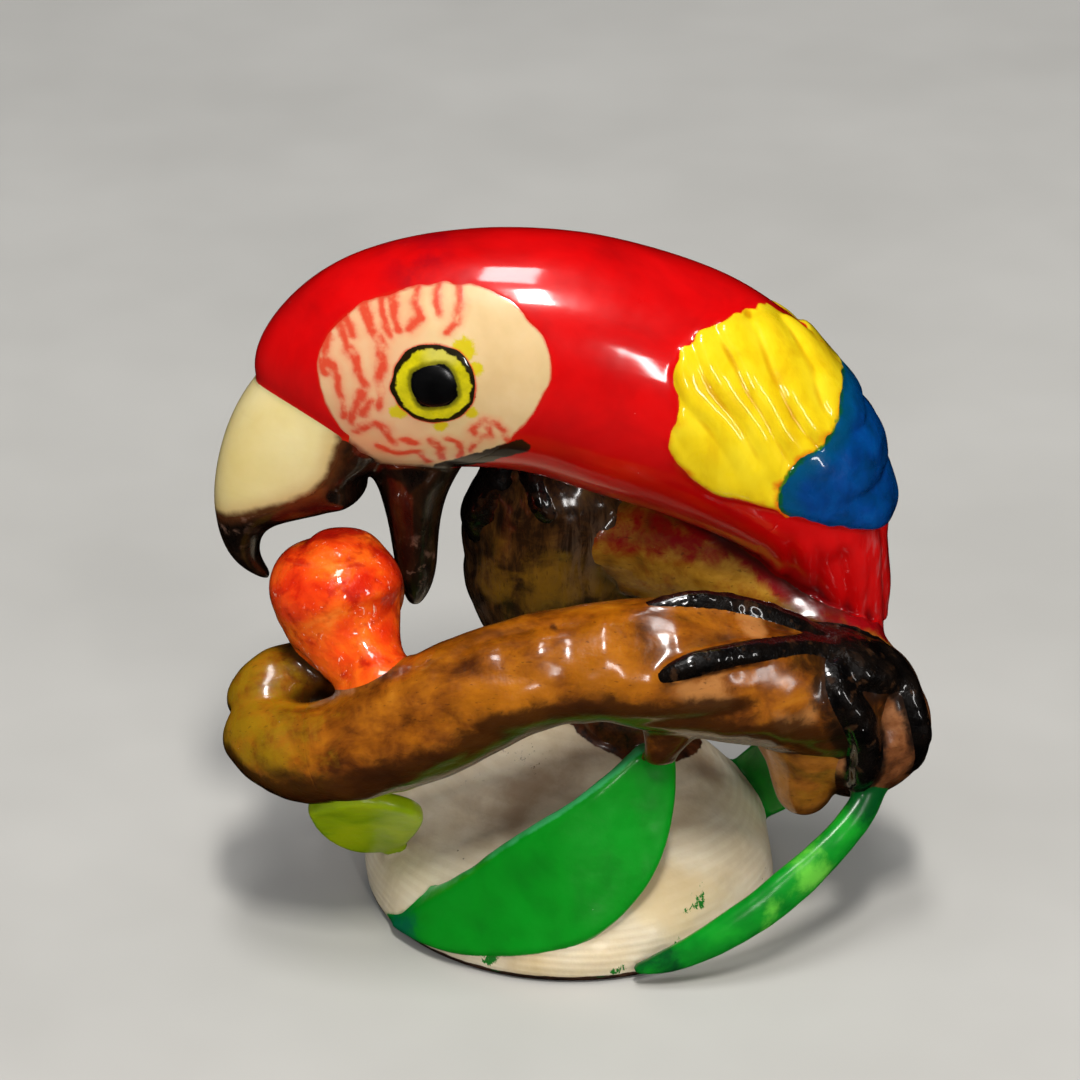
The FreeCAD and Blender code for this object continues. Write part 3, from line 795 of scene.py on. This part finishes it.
def claw_black():
    f = lacquer("claw_black", 0.09)
    scales = f.noise(0.5, 4, 0.6, 0.6)
    f.colour = f.ramp(f.noise(1.4, 4), (0.35, (5, 4, 4)), (0.60, (16, 11, 8)), (0.82, (46, 30, 18)))
    brown = f.times(f.step(f.noise(0.9, 4, shift=2.0), 0.58, 0.70), 0.6)
    f.tint((66, 42, 24), brown)
    f.dust_and_glints(1.0)
    return f.finished((f.noise(0.8, 3), 0.15, 0.45), f.bump(scales, 0.11, f.bump(f.noise(0.22, 2), 0.03)))


def bare_nut():
    f = nut_flesh("bare_nut", 0.35, 0.2, (1.0, 0.72, 0.42))
    f.colour = f.ramp(f.noise(5.5, 5, 0.6, 0.5), (0.30, (206, 186, 152)), (0.50, (224, 208, 178)),
                      (0.72, (234, 222, 196)))
    banded = f.add("ShaderNodeMapping", {"Vector": f.place, "Scale": (0.12, 0.20, 0.60)}).outputs[0]
    rings = f.add("ShaderNodeTexWave",
                  {"Vector": banded, "Scale": 1.0, "Distortion": 5.5, "Detail": 1.0, "Detail Scale": 0.55},
                  wave_type="BANDS", bands_direction="Z").outputs["Fac"]
    rings = f.times(rings, f.step(f.noise(3.5, 2), 0.30, 0.50))
    f.tint((176, 146, 104), f.step(rings, 0.75, 0.25), 0.11)
    # painted shade: brown in the hollows of the nut
    f.tint((140, 104, 66), f.where("hollow_shade", 0.12, f.noise(1.6, 4), 0.06, 0.5), 0.6)
    # partly brown smudges, partly painted shadow where the leaf and branch shade the nut
    f.tint((136, 98, 62), f.where("stain", 0.9, f.noise(2.2, 5, 0.65, 0.5), 0.62, 1.5), 0.62)
    f.tint((226, 196, 138), f.where("warm", 0.5, f.noise(1.5, 4), 0.45, 1.2), 0.5)
    bark = f.ragged("bark", 0.5, f.noise(0.9, 4, 0.6))
    f.tint(f.ramp(f.noise(0.8, 4, 0.7), (0.35, (30, 13, 5)), (0.65, (86, 40, 10))), f.step(bark, 0.70, 0.80))
    specks = f.times(f.step(f.noise(0.34, 3, 0.65), 0.60, 0.68), f.measure("specks"))
    f.tint((86, 58, 20), specks)
    scrape = f.noise(0.40, 5, 0.75, 0.8, stretch=(0.7, 1, 2.2))
    f.tint((18, 120, 30), f.where("flecks", 1.3, scrape, 1.40, 1.47))
    f.tint((120, 140, 60), f.where("leaf", 0.3, f.noise(0.5, 3), 0.36, 0.16), 0.5)
    dots = f.times(f.step(f.cells(1.3), 0.06, 0.04), f.step(f.noise(4.0, 1), 0.5, 0.6))
    f.tint((88, 66, 40), dots, 0.7)
    return f.finished(
        (f.noise(1.2, 4), 0.34, 0.58),
        f.bump(rings, 0.022, f.bump(f.noise(0.5, 4, 0.6), 0.03, f.bump(f.noise(1.8, 3), 0.09))))


def seed_coat():
    f = Finish("seed_coat", specular_ior_level=0.25, coat_weight=0.3, coat_roughness=0.25)
    f.colour = f.ramp(f.noise(1.2, 5, 0.65, 0.5, (1, 1, 0.4)), (0.35, (34, 18, 12)), (0.6, (66, 40, 26)),
                      (0.8, (104, 76, 52)))
    green = f.step(f.noise(1.8, 4, 0.7, 0.5), 0.60, 0.66)
    f.tint((16, 78, 30), green, f.measure("flecks"))
    return f.finished((f.noise(0.8, 4), 0.35, 0.65), f.bump(f.noise(0.5, 4), 0.05))


def leaf_paint(name, deep, middle, pale, **marks):
    """Green paint under thin varnish; the marks are paints and strengths for named measures."""
    f = lacquer(name, 0.24, coat_weight=0.6, subsurface_weight=0.12, subsurface_scale=0.0008,
                subsurface_radius=(0.3, 1.0, 0.3))
    f.colour = f.ramp(f.noise(3.4, 4, 0.5, 0.3), (0.25, deep), (0.50, middle), (0.80, pale))
    for mark, (paint, strength) in marks.items():
        f.tint(paint, f.where(mark, 1.0, f.noise(1.0, 5, 0.65, 0.3), 0.78, 1.40), strength)
    # painted shade: darker green in the hollows
    f.tint((0, 50, 12), f.step(f.measure("hollow_shade"), 0.05, 0.4), 0.6)
    f.dust_and_glints(0.4)
    return f.finished(
        (f.noise(1.2, 4), 0.24, 0.42), f.bump(f.noise(0.7, 3, 0.5), 0.03, f.bump(f.noise(2.2, 2), 0.08)))


def leaf_green():
    # painted highlight: pale teal along the edge of the leaf that faces up
    return leaf_paint("leaf_green", (0, 118, 16), (0, 136, 20), (0, 146, 26), edge=((70, 182, 110), 0.8),
                      teal=((0, 92, 66), 0.9), bright=((4, 158, 30), 0.5))


def leaf_bright_green():
    return leaf_paint("leaf_bright_green", (0, 100, 22), (4, 138, 30), (24, 168, 36),
                      lit=((110, 206, 64), 0.85), dark=((0, 66, 26), 0.9))


def leaf_yellow_green():
    return leaf_paint("leaf_yellow_green", (112, 142, 0), (152, 176, 4), (176, 190, 12),
                      green=((30, 150, 26), 0.9))


# -------------------------------------------------------------------- measures for the painted details

def side_distance(points, path):
    """Distance in the side view from each point to a path of x, z points."""
    flat = points[:, (0, 2)]
    best = np.full(len(flat), 99.0)
    for a, b in zip(path[:-1], path[1:]):
        a, b = np.array(a), np.array(b)
        along = b - a
        t = np.clip((flat - a) @ along / max(along @ along, 1e-9), 0, 1)
        best = np.minimum(best, np.linalg.norm(flat - a - t[:, None] * along, axis=1))
    return best


def eye_centre():
    return (at("eye_left", 0.5, 0.5, 0.5) + at("eye_right", 0.5, 0.5, 0.5)) / 2


# The red brush lines on the cheek: half width, then points tailwards and upwards of the eye's centre
CHEEK_STROKES = [
    (0.22, [(-7.2, 1.9), (-6.6, 0.9), (-6.1, -0.7), (-5.8, -2.0), (-6.0, -2.9)]),
    (0.24, [(-7.0, 0.9), (-6.9, 1.9), (-6.7, 2.6)]),
    (0.32, [(-5.4, 2.0), (-4.9, 0.8), (-4.4, -0.1)]),
    (0.25, [(-4.7, -0.6), (-4.9, -1.9), (-5.5, -3.1)]),
    (0.34, [(-4.6, 4.4), (-4.0, 3.4), (-3.5, 2.4)]),
    (0.26, [(-3.4, 2.2), (-3.3, 0.9), (-3.5, -0.6), (-3.7, -1.8)]),
    (0.22, [(-6.3, 3.6), (-5.8, 3.0), (-5.6, 1.9)]),
    (0.20, [(-5.7, 3.7), (-5.2, 2.9)]),
    (0.26, [(-2.7, 5.2), (-2.5, 4.2), (-2.2, 3.4)]),
    (0.22, [(-1.1, 5.9), (-1.4, 4.9), (-0.9, 4.2), (-1.5, 3.5)]),
    (0.21, [(0.3, 6.3), (0.1, 5.4), (0.5, 4.6)]),
    (0.23, [(1.3, 6.4), (1.6, 5.2), (1.5, 4.1), (0.8, 3.4)]),
    (0.20, [(-3.5, 5.0), (-3.2, 4.0), (-2.9, 2.9)]),
    (0.23, [(-5.2, -3.9), (-4.0, -3.0), (-3.1, -3.5), (-2.6, -4.6)]),
    (0.22, [(-3.6, -5.3), (-2.3, -5.7), (-1.0, -5.6), (-0.6, -6.6)]),
    (0.30, [(-1.9, -4.3), (-1.3, -4.7)]),
    (0.24, [(-0.2, -4.5), (0.4, -5.2), (0.3, -6.2)]),
    (0.22, [(0.8, -4.2), (1.6, -4.4), (1.6, -6.1)]),
    (0.22, [(2.4, -5.2), (2.7, -4.2), (2.3, -3.3), (3.1, -2.5), (4.0, -2.7), (4.4, -3.3)]),
    (0.20, [(3.0, -3.8), (3.6, -4.0), (3.3, -3.0)]),
    (0.20, [(4.5, -3.8), (5.2, -4.6)]),
    (0.20, [(-4.6, -2.6), (-4.2, -1.4)]),
    (0.20, [(-6.9, 0.2), (-7.3, 1.0)]),
]

# Where yellow paint has run out of the eye ring: tailwards and upwards of its centre, and how far it spreads
EYE_SMEARS = [(1.9, 2.4, 1.5), (2.7, 1.2, 1.0), (-2.3, -2.0, 1.2), (0.4, -3.0, 1.0), (2.4, -1.9, 0.9)]

# The dark stroke along the throat, measured from the eye in the same way
THROAT_STROKE = [(0.4, -7.6), (1.7, -6.7), (3.0, -6.1), (4.3, -5.3), (5.5, -4.7)]
THROAT_HALF_WIDTH = 0.60


def stroke_measure(points):
    """Distance past the edge of the nearest red brush line, all of which wander a little."""
    centre = eye_centre()
    shifted = points.copy()
    shifted[:, 0] += 0.26 * noise(points, 1.1, 21)
    shifted[:, 2] += 0.22 * noise(points, 1.1, 22)
    best = np.full(len(points), 9.0)
    for half_width, path in CHEEK_STROKES:
        line = [(centre[0] + dx, centre[2] + dz) for dx, dz in path]
        best = np.minimum(best, side_distance(shifted, line) - half_width)
    return best


def throat_measure(points):
    """Distance past the edge of the dark stroke on either side of the throat."""
    centre = eye_centre()
    path = [(centre[0] + dx, centre[2] + dz) for dx, dz in THROAT_STROKE]
    return np.where(np.abs(points[:, 1]) > 2.0, side_distance(points, path) - THROAT_HALF_WIDTH, 9.0)


def from_eye(points):
    """How far tailwards and upwards of the eye's centre each point is."""
    centre = eye_centre()
    return points[:, 0] - centre[0], points[:, 2] - centre[2]


def measure_red(piece):
    """The red of the body and the tail runs on without an edge between them."""
    piece.measure("throat", throat_measure(piece.points))
    others = [node for node in BIRD + BEAK if node not in ("macaw_body", "tail") and "pupil" not in node]
    piece.measure("edge", np.min([piece.near(node) for node in others], axis=0))
    # painted shade on the surfaces that face down
    piece.measure("under", smooth_step(-piece.facing_up(), -0.1, 0.8))
    if piece.node == "macaw_body":
        piece.mark("smudge", ("macaw_body", 0.27, 0.36, 0.96, 3.6), both_sides=True)
    else:
        # painted sheen along the back edge of the tail
        back = smooth_step(piece.points[:, 0], box_mm("tail")[1][0] - 2.6, box_mm("tail")[1][0] - 0.6)
        piece.measure("tail_sheen", back * 0.9)


def measure_cheek(piece):
    across, up = from_eye(piece.points)
    piece.measure("throat", throat_measure(piece.points))
    piece.measure("stroke", stroke_measure(piece.points))
    piece.measure("eye", np.hypot(across, up))
    piece.measure("blush", 1 - smooth_step(np.hypot(across + 5.0, 0.8 * (up + 0.5)), 3.0, 7.5))
    away = np.min([np.hypot(across - dx, up - dz) / spread for dx, dz, spread in EYE_SMEARS], axis=0)
    piece.measure("smear", 1 - smooth_step(away, 0.0, 1.1))
    beak = [piece.near(node) for node in ("upper_beak_edge", "lower_beak")]
    piece.measure("brown", np.minimum(*beak))


def measure_eye(piece):
    across, up = from_eye(piece.points)
    piece.measure("eye", np.hypot(across, up))
    leaning = np.abs(across + 0.25 * up), np.abs(up - 0.25 * across)
    piece.measure("square", (leaning[0] ** 3 + leaning[1] ** 3) ** (1 / 3))
    piece.measure("sheen_arc", smooth_step(up, 1.2, 2.0) * (1 - smooth_step(np.abs(across - 0.5), 0.5, 1.6)))


def measure_beak(piece):
    if piece.node == "upper_beak":
        piece.measure("dark_edge", piece.near("upper_beak_edge"))
        piece.mark("front", ("upper_beak", 0.06, 0.25, 0.45, 6.0), both_sides=True)
    else:
        piece.measure("nut", piece.near("upper_beak"))
        fx, fz = (0.10, 0.45) if piece.node == "upper_beak_edge" else (0.50, 0.30)
        # a patch of painted pinkish-grey sheen on each side
        piece.mark("beak_sheen", (piece.node, fx, 0.3, fz, 3.0), both_sides=True)


def measure_wing(piece):
    if "coverts" in piece.node:
        piece.measure("blue", piece.near(piece.node.replace("coverts", "primaries")))
        piece.measure("thin", 1 - smooth_step(piece.height(), 0.15, 0.7))
    else:
        piece.measure("yellow", piece.near(piece.node.replace("primaries", "coverts")))


def measure_wood(piece):
    node = piece.node
    height = piece.height()
    if node in ("front_branch", "branch_hook"):
        branch = "front_branch"
        piece.mark("bare", (branch, 0.78, 0.43, 0.88, 3.0), (branch, 0.68, 0.12, 0.58, 3.6),
                   (branch, 0.86, 0.2, 0.5, 3.0))
        knots = piece.spots((branch, 0.42, 0.28, 0.97, 1.3), ("branch_hook", 0.10, 0.2, 0.35, 1.6),
                            ("branch_hook", 0.95, 0.95, 0.6, 1.4), (branch, 0.95, 0.1, 0.45, 2.2))
        middle = (box_mm(branch)[0][0] + box_mm(branch)[1][0]) / 2
        near_claws = 1 - smooth_step(piece.near("foot_left"), 0.2, 2.6)
        stained = near_claws * smooth_step(piece.points[:, 0], middle + 9, middle + 15)
        piece.measure("knot", np.maximum(knots, 0.85 * stained))
        piece.mark("cut", ("branch_hook", 0.84, 0.40, 0.84, 3.4))
        # painted light: golden brown on the front top of the branch
        piece.mark("glow", (branch, 0.34, 0.10, 0.60, 6.0), (branch, 0.50, 0.15, 0.80, 6.0))
        left = box_mm("branch_hook")[0][0]
        piece.measure("olive", 0.72 - 0.72 * smooth_step(piece.points[:, 0], left, left + 15.0))
        # painted shade where the branch faces down
        piece.measure("under", smooth_step(-piece.facing_up(), -0.5, 0.4))
    elif node == "perch_limb":
        near_bird = np.minimum(piece.near("macaw_body"), piece.near("tail"))
        piece.measure("smear", 0.95 - 1.1 * smooth_step(near_bird, 0.3, 2.8))
        # painted shade towards the bottom of the limb
        piece.measure("under", 1 - smooth_step(height, 0.1, 0.5))
    elif node == "burl":
        claws = 1 - smooth_step(piece.near("foot_left"), 0.0, 1.2)
        piece.measure("knot", np.maximum(piece.spots((node, 0.3, 0.1, 0.3, 2.4)), claws) * 0.9)
        # painted shade towards the bottom of the burl
        piece.measure("under", 1 - smooth_step(height, 0.1, 0.4))
    elif node == "twig_stub":
        piece.measure("knot", piece.spots((node, 0.5, 0.2, 0.05, 1.5)) * 0.3)
    elif node == "stump":
        piece.mark("ochre", (node, 0.40, 0.05, 0.62, 4.0), (node, 0.15, 0.1, 0.62, 3.4),
                   (node, 0.68, 0.1, 0.6, 3.2), (node, 0.5, 0.9, 0.6, 5.0))
        # painted sheen: grey streaked bands down the front and the left side
        piece.mark("grey_sheen", (node, 0.62, 0.05, 0.72, 4.0), (node, 0.03, 0.4, 0.5, 3.0))
        piece.measure("foot", 1 - smooth_step(height, 0.10, 0.26))


def measure_nut(piece):
    node = "nut_base"
    if piece.node == "seed_coat_foot":
        piece.measure("flecks", smooth_step(-piece.points[:, 1], 4.0, 10.0))
        return
    # brown smudges round the stump, and painted shadow to the left of the front leaf and to its right
    piece.mark("stain", (node, 0.45, 0.42, 0.80, 5.5), (node, 0.36, 0.35, 0.66, 4.5),
               (node, 0.84, 0.55, 0.66, 4.5), (node, 0.5, 0.95, 0.6, 5.0))
    piece.mark("warm", (node, 0.75, 0.15, 0.4, 6.0), (node, 0.5, 0.05, 0.1, 5.0))
    beak_side = smooth_step(-piece.points[:, 0], -1.0, 2.2)
    piece.measure("bark", 1 - smooth_step(piece.near("stump"), 0.0, 1.8) - 0.45 * beak_side)
    piece.mark("specks", (node, 0.33, 0.55, 0.84, 2.2), (node, 0.40, 0.50, 0.85, 2.2),
               (node, 0.25, 0.5, 0.75, 1.8))
    piece.mark("flecks", (node, 0.80, 0.17, 0.34, 2.0), (node, 0.83, 0.20, 0.44, 1.4),
               (node, 0.78, 0.14, 0.27, 1.6), (node, 0.30, 0.04, 0.10, 1.6), (node, 0.62, 0.00, 0.06, 2.2),
               (node, 0.75, 0.05, 0.10, 1.8), (node, 0.06, 0.35, 0.50, 1.2))
    piece.measure("leaf", np.minimum(piece.near("leaf_front"), piece.near("leaf_right")))


def measure_leaf(piece):
    node = piece.node
    if node == "leaf_front":
        piece.mark("teal", (node, 0.04, 0.6, 0.06, 4.5))
        piece.mark("bright", (node, 0.85, 0.3, 0.6, 7.0))
        # painted highlight where the leaf's edge faces up
        piece.measure("edge", smooth_step(piece.facing_up(), 0.45, 0.95))
    elif node == "leaf_left":
        piece.mark("green", (node, 0.0, 0.5, 0.5, 2.8))
    else:
        piece.mark("lit", (node, 0.50, 0.35, 0.42, 3.0), (node, 0.66, 0.4, 0.60, 3.0))
        piece.mark("dark", (node, 0.95, 0.8, 0.95, 4.0), (node, 0.05, 0.05, 0.05, 3.0))


def measure_fruit(piece):
    piece.measure("stem", 1 - smooth_step(piece.height(), 0.2, 0.5))
    piece.mark("crown", ("fruit", 0.45, 0.7, 1.0, 2.6))


# Nodes, their finish, the name of their slot and what measures them for it
FINISHES = {node: row for nodes, *row in (
    (("macaw_body", "tail"), red_lacquer, "red_lacquer", measure_red),
    (pair("cheek"), cheek_nut, "cheek_nut", measure_cheek),
    (pair("eye"), eye_yellow, "eye_yellow", measure_eye),
    (pair("pupil"), pupil_black, "pupil_black", None),
    (("upper_beak",), beak_nut, "beak_nut", measure_beak),
    (("upper_beak_edge", "lower_beak"), beak_dark, "beak_dark", measure_beak),
    (pair("wing_coverts"), yellow_lacquer, "yellow_lacquer", measure_wing),
    (pair("wing_primaries"), blue_lacquer, "blue_lacquer", measure_wing),
    (("fruit",), fruit_orange, "fruit_orange", measure_fruit),
    (("front_branch", "branch_hook"), stained_branch, "stained_branch", measure_wood),
    (("perch_limb",), perch_wood, "stained_branch", measure_wood),
    (("burl",), burl_wood, "stained_branch", measure_wood),
    (("twig_stub",), twig_wood, "stained_branch", measure_wood),
    (("stump",), stained_stump, "stained_stump", measure_wood),
    (pair("foot"), claw_black, "claw_black", None),
    (("nut_base",), bare_nut, "bare_nut", measure_nut),
    (("seed_coat_foot",), seed_coat, "seed_coat", measure_nut),
    (("leaf_front",), leaf_green, "leaf_green", measure_leaf),
    (("leaf_right", "leaf_back"), leaf_bright_green, "leaf_bright_green", measure_leaf),
    (("leaf_left",), leaf_yellow_green, "leaf_yellow_green", measure_leaf)) for node in nodes}


def build_pieces():
    carving = Carving()
    materials = {}
    for number, node in enumerate(NODES, 1):
        piece = Piece(number, node, carving)
        finish, slot_name, measure = FINISHES[node]
        if measure:
            measure(piece)
        if finish not in materials:
            materials[finish] = finish().material
        piece.mesh.materials.append(materials[finish])
        shown = bpy.data.objects.new(node + "_look", piece.mesh)
        bpy.context.collection.objects.link(shown)
        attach(shown, "root")
        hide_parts(node)


# ------------------------------------------------------------------------------- floor, lights, camera

FLOOR_SIDE = 8.0                # metres
CAMERA_DISTANCE, CAMERA_ELEVATION, CAMERA_LENS = 330, 28, 165
CAMERA_AIM = (0.4528, 0.5393)   # where the camera looks, as fractions of the object's width and height


def plain_floor():
    half = FLOOR_SIDE / 2
    mesh = bpy.data.meshes.new("floor")
    corners = [(-half, -half, 0), (half, -half, 0), (half, half, 0), (-half, half, 0)]
    mesh.from_pydata(corners, [], [(0, 1, 2, 3)])
    f = Finish("floor", roughness=0.75)
    f.set("Base Color", f.ramp(f.noise(30.0, 3), (0.35, (186, 184, 178)), (0.65, (194, 192, 186))))
    mesh.materials.append(f.material)
    floor = bpy.data.objects.new("floor", mesh)
    bpy.context.collection.objects.link(floor)
    floor.visible_glossy = False


def soft_light(name, azimuth, elevation, distance, width, height, power, tint=(1, 1, 1), reflected=True):
    """A rectangular soft box aimed at the middle of the object, with sizes in metres and power in watts.

    Azimuth 0 is at the camera, positive to the right. Only a light that is reflected shows in the varnish.
    """
    lamp = bpy.data.lights.new(name, "AREA")
    lamp.shape = "RECTANGLE"
    lamp.size, lamp.size_y = width, height
    lamp.energy, lamp.color = power, tint
    a, e = math.radians(azimuth), math.radians(elevation)
    middle = (CAD_BOX[0] + CAD_BOX[1]) / 2
    away = Vector((math.sin(a) * math.cos(e), -math.cos(a) * math.cos(e), math.sin(e)))
    light = bpy.data.objects.new(name, lamp)
    light.location = middle + away * distance
    light.rotation_euler = away.to_track_quat("Z", "Y").to_euler()
    light.visible_glossy = reflected
    bpy.context.collection.objects.link(light)


def studio():
    soft_light("window", 15, 19, 0.55, 0.030, 0.13, 0.42, (1.0, 0.98, 0.96))
    soft_light("side_window", 52, 14, 0.60, 0.030, 0.24, 0.40, (1.0, 0.98, 0.96))
    soft_light("key", 5, 61, 0.50, 0.045, 0.11, 1.5, (1.0, 0.98, 0.95))
    soft_light("overhead", -8, 83, 0.60, 0.10, 0.20, 1.1)
    soft_light("fill", -60, 35, 0.80, 0.60, 0.60, 0.7, (0.94, 0.97, 1.0), reflected=False)
    world = bpy.data.worlds.new("soft surround")
    bpy.context.scene.world = world
    world.use_nodes = True
    world.cycles_visibility.glossy = False
    background = world.node_tree.nodes["Background"]
    background.inputs["Color"].default_value = (0.92, 0.94, 1.0, 1)
    background.inputs["Strength"].default_value = 0.33


def camera():
    data = bpy.data.cameras.new("camera")
    data.lens, data.clip_start = CAMERA_LENS, 0.01
    eye = bpy.data.objects.new("camera", data)
    bpy.context.collection.objects.link(eye)
    low, size = CAD_BOX[0], CAD_BOX[1] - CAD_BOX[0]
    target = Vector((low[0] + size[0] * CAMERA_AIM[0], 0, low[2] + size[2] * CAMERA_AIM[1]))
    elevation = math.radians(CAMERA_ELEVATION)
    back = Vector((0, -math.cos(elevation), math.sin(elevation)))
    eye.location = target + back * CAMERA_DISTANCE / MM
    eye.rotation_euler = (math.pi / 2 - elevation, 0, 0)
    bpy.context.scene.camera = eye


build_pieces()
plain_floor()
studio()
camera()
bpy.context.scene.view_settings.view_transform = "Standard"
